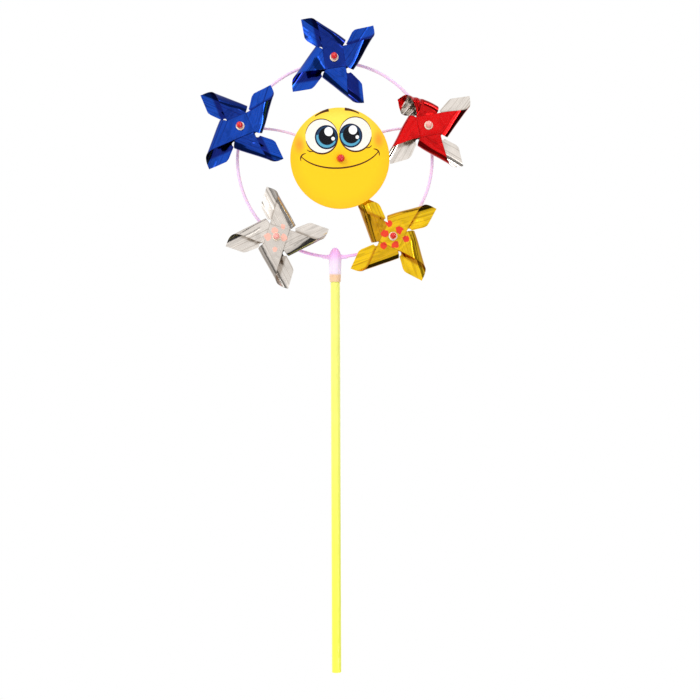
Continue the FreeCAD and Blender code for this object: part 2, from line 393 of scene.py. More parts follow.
def face_material(name):
    """Printed yellow sheet with a lighter brow, warm edge, blushed cheeks and plain back."""
    material, s = new_shader(name)
    place = s.flat_map("face")
    x, y, _ = s.parts(place)
    tone = s.mix(s.smooth(y, 0.1, 1.0), FACE_YELLOW, FACE_LIGHT)
    tone = s.mix(s.times(s.smooth(s.length(x, y), 0.72, 1.02), 0.55), tone, FACE_WARM)
    for side in (-1.0, 1.0):
        dx = s.times(s.less(x, 0.80 * side), 6.5)
        dy = s.times(s.less(y, 0.32), 4.0)
        blush = s.less(1.0, s.smooth(s.length(dx, dy), 0.0, 1.0))
        tone = s.mix(s.times(blush, 0.8), tone, FACE_BLUSH)
    dots = s.noise(s.stretched(place, (160, 160, 160)), 1.0, 1.0)
    tone = s.mix(s.times(s.smooth(dots, 0.45, 0.6), 0.04), tone, FACE_WARM)
    backward = s.parts(s.node("NewGeometry").outputs["Normal"])[1]
    tone = s.mix(s.smooth(backward, -0.1, 0.1), tone, FACE_YELLOW)
    peel = s.noise(s.object_point(), 700.0)
    principled(s, Base_Color=tone, Roughness=0.4, Normal=s.bump(peel, 0.08, 0.0001),
               Specular_IOR_Level=0.25)
    return material


def ink_material(name, tint):
    """Flat printed ink with a slight tone drift."""
    material, s = new_shader(name)
    drift = s.noise(s.stretched(s.flat_map("face"), (40, 40, 40)), 1.0)
    base = s.mix(s.smooth(drift, 0.3, 0.8), tint, shade(tint, 0.85))
    principled(s, Base_Color=base, Roughness=0.6, Specular_IOR_Level=0.12)
    return material


# Painted shade in the foil's narrow gaps reaches this far.
GAP_SHADE = 7.0 * MM  # film nearer than this darkens the film beside it

# Colours are linear.
FACE_YELLOW = (0.94, 0.565, 0.004)
FACE_LIGHT = (0.98, 0.80, 0.10)
FACE_WARM = (0.94, 0.46, 0.006)
FACE_BLUSH = (0.98, 0.27, 0.02)

FOIL_BLUE = (0.007, 0.075, 0.53)
FOIL_RED = (0.86, 0.004, 0.005)
FOIL_GOLD = (0.99, 0.62, 0.010)
FOIL_SILVER = (0.90, 0.83, 0.76)
PRINT_ORANGE = (0.80, 0.035, 0.003)
PRINT_PINK = (0.93, 0.50, 0.40)

IVORY = (0.93, 0.80, 0.62)
ROSE = (0.93, 0.40, 0.36)
RUBY = (0.86, 0.03, 0.03)
HOOP_PINK = (0.92, 0.66, 0.92)
SOCKET_PINK = (0.96, 0.52, 0.93)
SOCKET_PALE = (0.97, 0.78, 0.97)
SOCKET_PEACH = (0.98, 0.60, 0.37)
LEMON = (0.98, 0.97, 0.20)
LEMON_DEEP = (0.965, 0.965, 0.085)
# Painted sheen for the stick's rim at grazing angles.
LEMON_PAINTED_SHEEN = (0.98, 0.96, 0.36)

# Inks in the order in which they are printed, each one a layer higher.
INKS = {
    "white": (0.90, 0.86, 0.78),
    "navy": (0.012, 0.018, 0.05),
    "blue": (0.018, 0.055, 0.12),
    "sky": (0.10, 0.38, 0.55),
    "black": (0.008, 0.008, 0.012),
    "glint": (0.97, 0.97, 0.96),
    "brown": (0.085, 0.028, 0.010),
}

# Printed blobs: angle in degrees, distance from the hub and radius in millimetres.
ORANGE_BLOBS = ((20, 6.5, 2.8), (75, 9.8, 2.6), (140, 6.5, 2.8), (200, 9.8, 2.6),
                (262, 6.5, 2.8), (318, 9.8, 2.6))
PINK_BLOBS = ((10, 9.5, 1.9), (100, 5.5, 2.6), (165, 9.0, 1.9), (215, 4.8, 2.4), (290, 6.5, 2.7))


# ---- foil wheels
# A wheel is one square of film with four slits. A point of a petal is mapped by
# its run (from the hub, across the roll) and its width (from the petal's own
# slit, along the roll). Millimetres and degrees in this section.
BLANK_HALF_SIDE = 34.1
SLIT_DEPTH = 15.2  # side of the corner square that lies over the hub
CENTRE_HALF_SIDE = 8.0  # half of the uncut middle
RELIEF_RADIUS = 2.0  # round opening at the inner end of each slit
SHOULDER_RADIUS = 5.0  # rounding of the petal's blunt corner
HUB_HOLE = 1.75
FOIL = 0.13
FOIL_STACK = 9.0  # from the back sheet to the first folded tip
TIP_PITCH = 0.3
CRUSHED_FROM = 29.0  # width beyond which a crushed petal shows its inside
CREASE_START = 11.0  # width where a crushed petal's accordion folds begin
CREASE_PITCH = 6.5
LEAN = -4.0  # tilt of the flat halves at the petal's own slit, degrees
CONE = 0.45  # degrees of tilt added for each millimetre of width
EASE = 0.55  # how far the roll's bend gathers in its middle
FIRST_BEND = 14.0  # length of film in the roll where the search begins
LEAST_BEND, MOST_BEND = 5.0, 26.0
ROOT_ROWS = 20  # puts one row of points on the petal's sharp tip
COLUMNS = 32
CENTRE_RINGS = 10

DIAGONAL = sqrt(2.0)
PETAL_REACH = (BLANK_HALF_SIDE - SLIT_DEPTH / 2) * DIAGONAL
NOTCH = (BLANK_HALF_SIDE - SLIT_DEPTH) * DIAGONAL
BLANK_CORNER = BLANK_HALF_SIDE * DIAGONAL
CENTRE_CORNER = CENTRE_HALF_SIDE * DIAGONAL
TRIMMED_CORNER = CENTRE_CORNER - 0.3
RELIEF_PLACE = TRIMMED_CORNER + RELIEF_RADIUS

TABLE_STEP = 0.3
TABLE_PITCH = 2.0
TABLE_WIDTHS = [TABLE_PITCH * step - 12.0 for step in range(27)]


def smoothstep(value, low, high):
    share = min(max((value - low) / (high - low), 0.0), 1.0)
    return share * share * (3 - 2 * share)


def split(stops, spacing):
    """Numbers from the first stop to the last, with every stop kept."""
    values = [stops[0]]
    for low, high in zip(stops, stops[1:]):
        steps = max(1, round((high - low) / spacing))
        values += [low + (high - low) * (step + 1) / steps for step in range(steps)]
    return values


def opening(place):
    """Half width of the round opening at a distance from the hub along a slit."""
    return sqrt(max(RELIEF_RADIUS ** 2 - (place - RELIEF_PLACE) ** 2, 0.0))


def petal_width(run):
    """Least and greatest width of a petal at a run."""
    if run <= NOTCH:
        slit = opening(run)
        if run > RELIEF_PLACE:
            slit = RELIEF_RADIUS * (1 - smoothstep(run, RELIEF_PLACE + 2.0, NOTCH))
        least = max(CENTRE_CORNER - run, slit)
    else:
        least = -min(run - NOTCH, BLANK_CORNER - run)
    greatest = min(NOTCH + run, BLANK_CORNER - run)
    arc_end = SHOULDER_RADIUS * (1 - sqrt(0.5))
    if run < arc_end:
        tangent = SHOULDER_RADIUS * tan(pi / 8)
        greatest = NOTCH - tangent + sqrt(SHOULDER_RADIUS ** 2 - (SHOULDER_RADIUS - run) ** 2)
    return least, greatest


def film_angle(run, width, bend, petal):
    """Direction of the film in radians: 0 outward, a quarter turn forward, a half
    turn on its way back to the hub. It is held flat at the root and the tip."""
    share = min(max(0.5 + (run - PETAL_REACH / 2) / bend, 0.0), 1.0)
    turned = share - EASE * sin(TURN * share) / (TURN)
    lean = petal["lean"] + petal["cone"] * max(width, 0.0)
    root = smoothstep((run + max(width, 0.0) - CENTRE_CORNER) / DIAGONAL, 0.0, 5.0)
    tip = smoothstep(hypot(run - PETAL_REACH, width), 3.0, 11.0)
    wave = sum(size * sin(run * rate + width * skew + shift)
               for size, rate, skew, shift in petal["ripple"])
    start = -lean * root
    end = 180.0 + lean * tip
    return radians(start + (end - start) * turned + wave * root * tip)


def bend_line(width, bend, petal):
    """Folded place (distance from the axis, height) at every TABLE_STEP of run."""
    line, out, rise = [(0.0, 0.0)], 0.0, 0.0
    steps = ceil(BLANK_CORNER / TABLE_STEP)
    for step in range(steps):
        angle = film_angle((step + 0.5) * TABLE_STEP, width, bend, petal)
        out += cos(angle) * TABLE_STEP
        rise += sin(angle) * TABLE_STEP
        line.append((out, rise))
    return line


def between(values, place):
    """Linear look-up in a list of pairs at a fractional index."""
    index = min(int(place), len(values) - 2)
    share = place - index
    (a, b), (c, d) = values[index], values[index + 1]
    return a + (c - a) * share, b + (d - b) * share


def bend_table(height, petal):
    """One bend line per table width, each bent so that its tip lands at height."""
    table = []
    bend = FIRST_BEND
    for width in TABLE_WIDTHS:
        for _ in range(4):
            line = bend_line(width, bend, petal)
            rise = between(line, PETAL_REACH / TABLE_STEP)[1]
            bend = min(max(bend + (height - rise) * pi / 2, LEAST_BEND), MOST_BEND)
        drift, rise = between(line, PETAL_REACH / TABLE_STEP)
        settled = []
        for step, (out, up) in enumerate(line):
            share = min(step * TABLE_STEP / PETAL_REACH, 1.0)
            settled.append((out - drift * share, up - (rise - height) * share))
        table.append(settled)
    return table


def folded(table, run, width):
    """Distance from the axis and height of a point of the bent petal."""
    row = min(max((width - TABLE_WIDTHS[0]) / TABLE_PITCH, 0.0), len(TABLE_WIDTHS) - 1.001)
    low = between(table[int(row)], run / TABLE_STEP)
    high = between(table[int(row) + 1], run / TABLE_STEP)
    share = row - int(row)
    return low[0] + (high[0] - low[0]) * share, low[1] + (high[1] - low[1]) * share


def crease(width, run, shortening):
    """Accordion folds that shorten the outer part of a crushed petal."""
    beyond = max(width - CREASE_START, 0.0)
    if shortening <= 0 or beyond <= 0:
        return width, 0.0
    depth = 0.2 * CREASE_PITCH * sqrt(1 - (1 - shortening) ** 2) * smoothstep(beyond, 0.0, 3.0)
    phase = TURN * (beyond + 0.35 * run) / CREASE_PITCH
    return width - beyond * shortening, depth * sin(phase)


def petal_style(index, style):
    """The small differences that make each folded petal its own."""
    draw = random.Random(style["seed"] + index)
    ripple = []
    for size, length in style["ripple"]:
        size *= draw.uniform(0.6, 1.3) * style["wavy"][index]
        ripple.append((size, TURN / length, draw.uniform(-0.03, 0.03), draw.uniform(0, 6.3)))
    return {
        "lean": LEAN + draw.uniform(-1.2, 1.2),
        "cone": CONE + draw.uniform(-0.05, 0.05),
        "ripple": ripple,
        "swing": radians(style["swing"][index]),
        "strip": sin(radians(style["strip"][index])),
        **{key: style[key][index] for key in ("lift", "short", "tone", "shade_band")},
    }


def petal_painted_light(petal, run, width, column):
    """Painted reflection and shade: the folded half has its own tone and painted shade
    right at its edges, where the gap under the film shows. The open half has a dark
    stripe of painted shade beside the fold."""
    past_roll = smoothstep(run, 19.0, 24.0)
    beside = (width - run - (BLANK_CORNER - PETAL_REACH)) / DIAGONAL
    # Painted shade beside the fold; past the roll the folded half takes its painted reflection level.
    clear = smoothstep(beside, petal["shade_band"] - 1.0, petal["shade_band"] + 0.8)
    tone = (0.15 + 0.85 * clear) * (1 - past_roll) + petal["tone"] * past_roll
    if run < 8.0 and beside < 0:
        tone = 1.0
    # Painted shade along the folded half's cut edges.
    if column in (0, COLUMNS):
        tone *= 1.0 - 0.85 * past_roll
    return tone


def petal_point(table, petal, run, width, shift):
    """A petal's point in its own axes: outward across the roll, along it, forward."""
    out, rise = folded(table, run, width)
    out += shift
    along, crumple = crease(width, run, petal["short"])
    rise += crumple
    grip = smoothstep(hypot(run - PETAL_REACH, width), 9.0, 16.0)
    rise += petal["strip"] * max(width - 3.0, 0.0) * smoothstep(run, 21.0, 28.0) * grip
    outer = max(width - 14.0, 0.0) / (PETAL_REACH - 14.0)
    rise += petal["lift"] * outer * outer
    swing = petal["swing"] * smoothstep(hypot(out, along), 11.6, 26.0)
    return Vector((out * cos(swing) - along * sin(swing),
                   out * sin(swing) + along * cos(swing), rise))


def petal_mesh(index, style):
    """Points in the wheel's frame, before the blank's turn, faces, and each point's
    tone (painted reflection and shade), streak run (the run, set apart for each
    petal, that places painted reflection streaks) and width."""
    petal = petal_style(index, style)
    table = bend_table(FOIL_STACK + index * TIP_PITCH, petal)
    runs = split([0.0, CENTRE_CORNER], CENTRE_CORNER / ROOT_ROWS)
    runs += split([CENTRE_CORNER, RELIEF_PLACE], 0.35)[1:]
    runs += split([RELIEF_PLACE, NOTCH, PETAL_REACH, BLANK_CORNER], 0.55)[1:]
    turn = Matrix.Rotation(radians(45 + 90 * index), 3, "Z")
    trim = TRIMMED_CORNER / CENTRE_CORNER
    points, looks = [], []
    for row, run in enumerate(runs):
        least, greatest = petal_width(run)
        if row == ROOT_ROWS:
            least = 0.0
        for column in range(COLUMNS + 1):
            width = least + (greatest - least) * column / COLUMNS
            shift = opening(width) * max(1 - run / 5.0, 0.0)
            if column == 0:
                shift = 0.0
            point = petal_point(table, petal, run, width, shift)
            if column == 0 and row in (0, ROOT_ROWS):
                point *= trim
            points.append(turn @ point)
            looks.append((petal_painted_light(petal, run, width, column), run + 100.0 * index, width))
    return points, weave(len(runs), COLUMNS + 1, wrap=False), looks


def centre_mesh():
    """The uncut middle, with its edge on the same points as the petals' roots."""
    corners = [Vector((CENTRE_CORNER, 0, 0)) for _ in range(4)]
    for index, corner in enumerate(corners):
        corner.rotate(Matrix.Rotation(radians(45 + 90 * index), 3, "Z"))
    border = []
    for index in range(4):
        for step in range(ROOT_ROWS):
            point = corners[index].lerp(corners[(index + 1) % 4], step / ROOT_ROWS)
            if step == 0:
                point *= TRIMMED_CORNER / CENTRE_CORNER
            border.append(point)
    points = []
    for ring in range(CENTRE_RINGS + 1):
        for point in border:
            points.append((point.normalized() * HUB_HOLE).lerp(point, ring / CENTRE_RINGS))
    faces = weave(CENTRE_RINGS + 1, len(border))
    return points, faces, [(1.0, 0.0, 0.0)] * len(points)


def pierce(sheet):
    """Opens the hub hole in the folded tips and rounds its edge."""
    places = [(face, face.calc_center_median()) for face in sheet.faces]
    doomed = [face for face, middle in places if middle.xy.length < HUB_HOLE and middle.z > 1.0]
    bmesh.ops.delete(sheet, geom=doomed, context="FACES")
    loose = [v for v in sheet.verts if not v.link_faces]
    bmesh.ops.delete(sheet, geom=loose, context="VERTS")
    for vertex in sheet.verts:
        if vertex.is_boundary and vertex.co.z > 1.0 and vertex.co.xy.length < HUB_HOLE * 1.8:
            rim = vertex.co.xy.normalized() * HUB_HOLE
            vertex.co.x, vertex.co.y = rim.x, rim.y


def wheel_place(name, style):
    """From the petals' frame to the row frame, in metres, with the back sheet in the
    middle of the CAD film. The blank's turn comes from where the CAD wheel has its
    tips; a left-handed wheel is mirrored first."""
    origin, axis = hinge("spin_" + name)
    back, _, _, far = measured("foil_" + name, origin, axis)
    upright = axis_frame(origin, axis)
    tip = upright.inverted() @ far
    tip_angle = degrees(atan2(tip.y, tip.x))
    tip_in_petal = degrees(atan2(PETAL_REACH, BLANK_CORNER - PETAL_REACH))
    turn = (tip_angle - style["hand"] * (45 + tip_in_petal)) % 90 + 90 * style["quarter"]
    mirror = Matrix.Diagonal((MM, MM * style["hand"], MM, 1))
    turned = Matrix.Rotation(radians(turn), 4, "Z")
    return upright @ Matrix.Translation((0, 0, back + 0.1 * MM)) @ turned @ mirror


def foil_sheet(name, style, outside, inside):
    """One folded wheel; outside shows in the scoops, inside on the folded tips."""
    sheet = bmesh.new()
    # Per point: painted reflection and shade (tone), and the run that places painted reflection
    # streaks.
    tone = sheet.verts.layers.float.new("tone")
    reflection_streak_run = sheet.verts.layers.float.new("reflection_streak_run")
    parts = [petal_mesh(index, style) for index in range(4)] + [centre_mesh()]
    for index, (points, faces, looks) in enumerate(parts):
        made = [sheet.verts.new(point) for point in points]
        for vertex, look in zip(made, looks):
            vertex[tone], vertex[reflection_streak_run], _ = look
        crushed = index < 4 and style["short"][index] > 0
        for face in faces:
            fresh = sheet.faces.new([made[corner] for corner in face])
            if crushed and looks[face[0]][2] > CRUSHED_FROM:
                fresh.material_index = 1
    root = [v for v in sheet.verts if v.is_boundary and v.co.xy.length < CENTRE_CORNER + 0.1
            and abs(v.co.z) < 0.1]
    bmesh.ops.remove_doubles(sheet, verts=root, dist=0.02)
    bmesh.ops.dissolve_degenerate(sheet, edges=sheet.edges, dist=1e-4)
    pierce(sheet)

    layer = sheet.loops.layers.uv.new("wheel")
    for face in sheet.faces:
        face.smooth = True
        for loop in face.loops:
            loop[layer].uv = loop.vert.co.xy
    bmesh.ops.transform(sheet, matrix=wheel_place(name, style), verts=sheet.verts)
    if style["hand"] < 0:
        bmesh.ops.reverse_faces(sheet, faces=sheet.faces)
    piece = sheet_object("foil_sheet_" + name, sheet, [outside, inside])
    thick = piece.modifiers.new("thickness", "SOLIDIFY")
    thick.thickness = FOIL * MM
    thick.offset = 0
    thick.material_offset = 1
    thick.material_offset_rim = 0
    apply_modifiers(piece)
    piece.data.set_sharp_from_angle(angle=radians(40))
    return stand_in(piece, "wheel_" + name, "foil_" + name)


# ---- turned pieces
def turned(name, profile, material, place, closed=True, segments=48):
    points, faces = lathe_data(profile, segments, closed)
    piece = new_object(name, mesh_of(name, points, faces, place), [material])
    face_outward(piece)
    return piece


def hub_ring(name, title, node, profile, material):
    """A turned piece that spins with a wheel."""
    piece = turned(title, profile, material, axis_frame(*hinge("spin_" + name)))
    return stand_in(piece, "wheel_" + name, node)


def hub_bush(name, material):
    node = "bush_" + name
    low, high, radius, _ = measured(node, *hinge("spin_" + name))
    sleeve = HUB_HOLE * MM * 0.97
    bore = sleeve * 0.6
    flange = high - 1.0 * MM
    corners = [(bore, low), (sleeve, low), (sleeve, flange), (radius, flange), (radius, high),
               (bore * 1.25, high)]
    return hub_ring(name, "hub_" + node, node, rounded(corners, 0.35 * MM), material)


def push_collar(name, material):
    node = "collar_" + name
    low, high, radius, _ = measured(node, *hinge("spin_" + name))
    bore = HUB_HOLE * MM
    corners = [(bore, low), (radius, low), (radius, high), (bore, high)]
    return hub_ring(name, "push_" + node, node, rounded(corners, 0.4 * MM), material)


def dome(radius, low, high, steps):
    """Profile of a quarter ellipse from its side, at low, to its tip, at high."""
    angles = [pi / 2 * step / steps for step in range(steps)]
    return [(radius * cos(angle), low + (high - low) * sin(angle)) for angle in angles] + [(0.0, high)]


def pin_profile(shank, head, tail, head_back, tip):
    """Half outline of a pin: a thin shank and a bullet head with a soft foot."""
    profile = [(0, tail), (shank * 0.6, tail), (shank, tail + shank * 0.5), (shank, head_back)]
    profile += [(head * 0.9, head_back), (head, head_back + head * 0.12)]
    return profile + dome(head, tip - head * 1.15, tip, 8)


def headed_pin(node, name, joint, head_length, material):
    origin, axis = hinge(joint)
    tail, tip, head, _ = measured(node, origin, axis)
    profile = pin_profile(PIN_SHANK, head, tail, tip - head_length, tip)
    piece = turned(name, profile, material, axis_frame(origin, axis), closed=False)
    return stand_in(piece, "frame", node)


PIN_SHANK = 0.95 * MM
PIN_HEAD = 8.0 * MM
NOSE_HEAD = 5.0 * MM
STICK_WALL = 0.6 * MM
STICK_NECK = 8.0 * MM  # length of the narrower top that sits in the socket
STICK_NECK_DEPTH = 0.2 * MM


def stick_tube(material):
    low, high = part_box("stick")
    radius = (high.x - low.x) / 2
    bore = radius - STICK_WALL
    neck = radius - STICK_NECK_DEPTH
    shoulder = high.z - STICK_NECK
    corners = [(bore, low.z), (radius, low.z), (radius, shoulder), (neck, shoulder),
               (neck, high.z), (bore, high.z)]
    piece = turned("stick_tube", rounded(corners, 0.12 * MM), material, STILL, segments=64)
    return stand_in(piece, "frame", "stick")


# ---- hoop
def join_parts(name, parts):
    points, faces = [], []
    for part_points, part_faces, place in parts:
        base = len(points)
        points += [place @ Vector(point) for point in part_points]
        faces += [tuple(base + corner for corner in face) for face in part_faces]
    return mesh_of(name, points, faces)


# Radii, heights and lengths in metres; profiles are (radius, height) in millimetres.
ROD = 1.2 * MM
ARM_ROD = 1.0 * MM
ARM_RISE = 8.6 * MM
POST_PROFILE = ((0, -2.2), (2.0, -2.2), (2.6, -1.7), (2.6, 5.7), (2.3, 6.0), (1.0, 6.0),
                (1.0, 0.0), (0, 0.0))
SOCKET_BELT = 16.5 * MM  # the widest place, above the mouth
SOCKET_TOP = 25.9 * MM
SOCKET_CORE = 2.6 * MM
SOCKET_FOOT_RADIUS = 4.15 * MM
SOCKET_BELT_RADIUS = 4.75 * MM
FACE_POST_BALL = 3.4 * MM  # the post's round foot
VOXEL = 0.22 * MM


def ring_part(centre, radius):
    path = []
    for step in range(241):
        angle = TURN * step / 240
        path.append(centre + Vector((radius * cos(angle), 0, radius * sin(angle))))
    return (*sweep_data(path, [ROD] * len(path), 20), STILL)


def post_part(name):
    """A wheel's post, bored for its pin."""
    origin, axis = hinge("spin_" + name)
    foot = Vector((origin.x, 0, origin.z))
    profile = [(radius * MM, height * MM) for radius, height in POST_PROFILE]
    return (*lathe_data(profile, 36), axis_frame(foot, axis))


def socket_part(mouth):
    """A bullet-shaped socket with a seat for the stick's neck."""
    belt = mouth + SOCKET_BELT
    top = mouth + SOCKET_TOP
    stick_low, stick_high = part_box("stick")
    seat_top = stick_high.z + 0.02 * MM
    seat_radius = (stick_high.x - stick_low.x) / 2 - STICK_NECK_DEPTH + 0.05 * MM
    profile = [(0, belt), (SOCKET_CORE, belt), (SOCKET_CORE, seat_top), (seat_radius, seat_top),
               (seat_radius, mouth), (SOCKET_FOOT_RADIUS, mouth), (SOCKET_BELT_RADIUS, belt)]
    profile += dome(SOCKET_BELT_RADIUS, belt, top, 12)[1:]
    return (*lathe_data(profile, 48), STILL)


def flare_part(side, bottom):
    """The hoop's rod grows thicker towards the socket."""
    path = [Vector((side * (3.0 + 0.65 * step) * MM, 0, bottom)) for step in range(11)]
    radii = [ROD * (1.0 + 0.9 * (1 - step / 10) ** 1.5) for step in range(11)]
    return (*sweep_data(path, radii, 20), STILL)


def arm_part(name, centre):
    """A bowed rod from the middle of the hoop to a wheel's post."""
    origin = hinge("spin_" + name)[0]
    along = Vector((origin.x, 0, origin.z)) - centre
    lift = Vector((-along.z, 0, along.x)).normalized()
    if lift.z < 0:
        lift = -lift
    bow = (along.length ** 2 / 4 + ARM_RISE ** 2) / (2 * ARM_RISE)
    half = asin(along.length / 2 / bow)
    path = []
    for step in range(61):
        angle = half * (2 * step / 60 - 1)
        path.append(centre + along * 0.5 + along.normalized() * bow * sin(angle)
                    + lift * (bow * cos(angle) - bow + ARM_RISE))
    return (*sweep_data(path, [ARM_ROD] * 61, 16), STILL)


def face_post_part(centre):
    axis = hinge("turn_face")[1]
    top = measured("face_disc", centre, axis)[0] - 0.1 * MM
    profile = [(0, -FACE_POST_BALL)]
    for step in range(1, 9):
        angle = pi / 2 * step / 8
        profile.append((FACE_POST_BALL * sin(angle), -FACE_POST_BALL * cos(angle)))
    profile += [(2.7 * MM, top - 0.4 * MM), (2.3 * MM, top), (1.0 * MM, top),
                (1.0 * MM, top - 9 * MM), (0, top - 9 * MM)]
    return (*lathe_data(profile, 40), axis_frame(centre, axis))


def hoop_moulding(material):
    """Hoop, socket, posts, arms and face post, melted into one skin."""
    tops = [hinge("spin_" + name)[0] for name in WHEELS]
    centre = sum(tops, Vector()) / len(tops)
    centre.y = 0.0
    radius = (tops[0] - centre).xz.length
    parts = [ring_part(centre, radius)]
    parts += [post_part(name) for name in WHEELS]
    parts.append(socket_part(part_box("hoop_frame")[0].z))
    parts += [flare_part(side, centre.z - radius) for side in (-1, 1)]
    parts += [arm_part(name, centre) for name in ("upper_left", "upper_right")]
    parts.append(face_post_part(centre))

    piece = new_object("hoop_moulding", join_parts("hoop_moulding", parts), [material])
    face_outward(piece)
    melt = piece.modifiers.new("melt", "REMESH")
    melt.mode = "VOXEL"
    melt.voxel_size = VOXEL
    melt.use_smooth_shade = True
    soften = piece.modifiers.new("soften", "SMOOTH")
    soften.iterations = 8
    soften.factor = 0.5
    apply_modifiers(piece)
    return stand_in(piece, "frame", "hoop_frame")


# ---- face
FACE_TURN = radians(5)  # the disc stands turned a little on its pin
LOOK = 1e-3  # radians


def face_plate(material):
    """The round plate, softly rounded at its edge, with a face-sized map."""
    origin, axis = hinge("turn_face")
    low, high, radius, _ = measured("face_disc", origin, axis)
    hole = 1.0 * MM
    corners = [(hole, low), (radius, low), (radius, high), (hole, high)]
    profile = rounded(corners, 0.45 * MM, 6)
    fine = []
    for (r0, z0), (r1, z1) in zip(profile, profile[1:] + profile[:1]):
        steps = max(1, round(abs(r1 - r0) / (2.0 * MM)))
        for step in range(steps):
            fine.append((r0 + (r1 - r0) * step / steps, z0 + (z1 - z0) * step / steps))
    points, faces = lathe_data(fine, 128, True)
    mesh = mesh_of("face_plate", points, faces)
    layer = mesh.uv_layers.new(name="face")
    turned_back = Matrix.Rotation(-FACE_TURN, 2)
    for loop in mesh.loops:
        flat = turned_back @ mesh.vertices[loop.vertex_index].co.xy
        layer.data[loop.index].uv = flat / radius
    mesh.transform(axis_frame(origin, axis))
    piece = new_object("face_plate", mesh, [material])
    face_outward(piece)
    return stand_in(piece, "face", "face_disc"), radius, high


def arc(centre, size):
    """A point on an ellipse at an angle; sizes are shares of the disc's radius."""
    def curve(angle):
        return Vector(centre) + Vector((size[0] * cos(angle), size[1] * sin(angle)))
    return curve


def ellipse(centre, size, steps=48):
    return [arc(centre, size)(TURN * step / steps) for step in range(steps)]


def ribbon(curve, start, end, steps, width_at, behind=0.0):
    """Outline of a line along curve, from start to end in degrees. Its width comes
    from the share of the way, its direction from a short look ahead and behind."""
    start, end = radians(start), radians(end)
    left, right = [], []
    for step in range(steps + 1):
        angle = start + (end - start) * step / steps
        ahead = (curve(angle + LOOK) - curve(angle - behind)).normalized()
        side = Vector((-ahead.y, ahead.x)) * width_at(step / steps) / 2
        left.append(curve(angle) + side)
        right.append(curve(angle) - side)
    return left + right[::-1]


def stroke(curve, start, end, width, sharp=0.6):
    """A pen line, thick in the middle and thin at the ends."""
    def width_at(share):
        return width * sin(pi * (0.04 + 0.92 * share)) ** sharp
    return ribbon(curve, start, end, 40, width_at, LOOK)


def brush(curve, start, end, thick, thin):
    """A brush mark that narrows from thick to thin."""
    return ribbon(curve, start, end, 16, lambda share: thick + (thin - thick) * share)


def crescent(centre, outer, inner, steps=30):
    """A bright moon along the lower edge of an iris."""
    edge = arc(centre, (outer, outer))
    inset = arc(centre + Vector((0.010, 0.016)), (inner, inner))
    angles = [radians(165 + 165 * step / steps) for step in range(steps + 1)]
    return [edge(angle) for angle in angles] + [inset(angle) for angle in angles[::-1]]


def eye_shapes(side):
    """One round eye; side is -1 or +1."""
    eye, eye_size = (0.34 * side, 0.455), (0.325, 0.34)
    iris = Vector((0.245 * side, 0.433))
    lid = arc(eye, eye_size)
    tail = arc((0.56 * side, 0.29), (0.12, 0.12))
    tail_ends = (255, 322) if side > 0 else (218, 285)
    return [
        ("white", ellipse(eye, eye_size)),
        ("navy", ellipse(iris, (0.235, 0.238))),
        ("blue", ellipse(iris, (0.205, 0.208))),
        ("sky", crescent(iris, 0.205, 0.172)),
        ("black", ellipse(iris + Vector((0.01, 0.022)), (0.165, 0.170))),
        ("glint", ellipse(iris + Vector((0.05, 0.108)), (0.085, 0.088))),
        ("glint", ellipse(iris + Vector((0.128, -0.037)), (0.035, 0.036))),
        ("brown", stroke(lid, 192, 348, 0.032)),
        ("brown", stroke(lid, 12, 168, 0.018)),
        ("brown", stroke(tail, *tail_ends, 0.020)),
    ]


def printed_shapes():
    """(ink, outline) of the whole drawing, in shares of the disc's radius."""
    smile = arc((0.0, 0.27), (0.85, 0.46))
    lines = [stroke(smile, 201.7, 338.3, 0.030, sharp=0.35)]
    for side in (-1, 1):
        brow = arc((0.08 * side, 0.30), (0.665, 0.665))
        ends = (83, 57) if side > 0 else (97, 123)
        lines.append(brush(brow, *ends, 0.058, 0.020))
        corner = arc((0.69 * side, 0.035), (0.105, 0.105))
        ends = (-20, 95) if side > 0 else (85, 200)
        lines.append(stroke(corner, *ends, 0.026))
    return eye_shapes(-1) + eye_shapes(1) + [("brown", line) for line in lines]


def ink_slab(sheet, outline, radius, top):
    """Faces of a thin closed slab from just inside the plate up to top."""
    low = [sheet.verts.new((p.x * radius, p.y * radius, -0.02 * MM)) for p in outline]
    high = [sheet.verts.new((p.x * radius, p.y * radius, top)) for p in outline]
    count = len(outline)
    faces = []
    for step in range(count):
        after = (step + 1) % count
        faces.append(sheet.faces.new((low[step], low[after], high[after], high[step])))
    faces.append(sheet.faces.new(high))
    faces.append(sheet.faces.new(low[::-1]))
    return faces


def face_print(inks, radius, front):
    """The printed drawing as thin closed layers of ink on the plate."""
    order = list(inks)
    sheet = bmesh.new()
    layer_map = sheet.loops.layers.uv.new("face")
    for ink, outline in printed_shapes():
        layer = order.index(ink)
        for face in ink_slab(sheet, outline, radius, (0.018 + 0.008 * layer) * MM):
            face.material_index = layer
            for loop in face.loops:
                loop[layer_map].uv = loop.vert.co.xy / radius
    bmesh.ops.triangulate(sheet, faces=[f for f in sheet.faces if len(f.verts) > 4])
    bmesh.ops.recalc_face_normals(sheet, faces=sheet.faces)
    turned_up = Matrix.Rotation(FACE_TURN, 4, "Z")
    place = axis_frame(*hinge("turn_face")) @ Matrix.Translation((0, 0, front)) @ turned_up
    bmesh.ops.transform(sheet, matrix=place, verts=sheet.verts)
    piece = sheet_object("face_print", sheet, list(inks.values()))
    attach(piece, "face")
    return piece


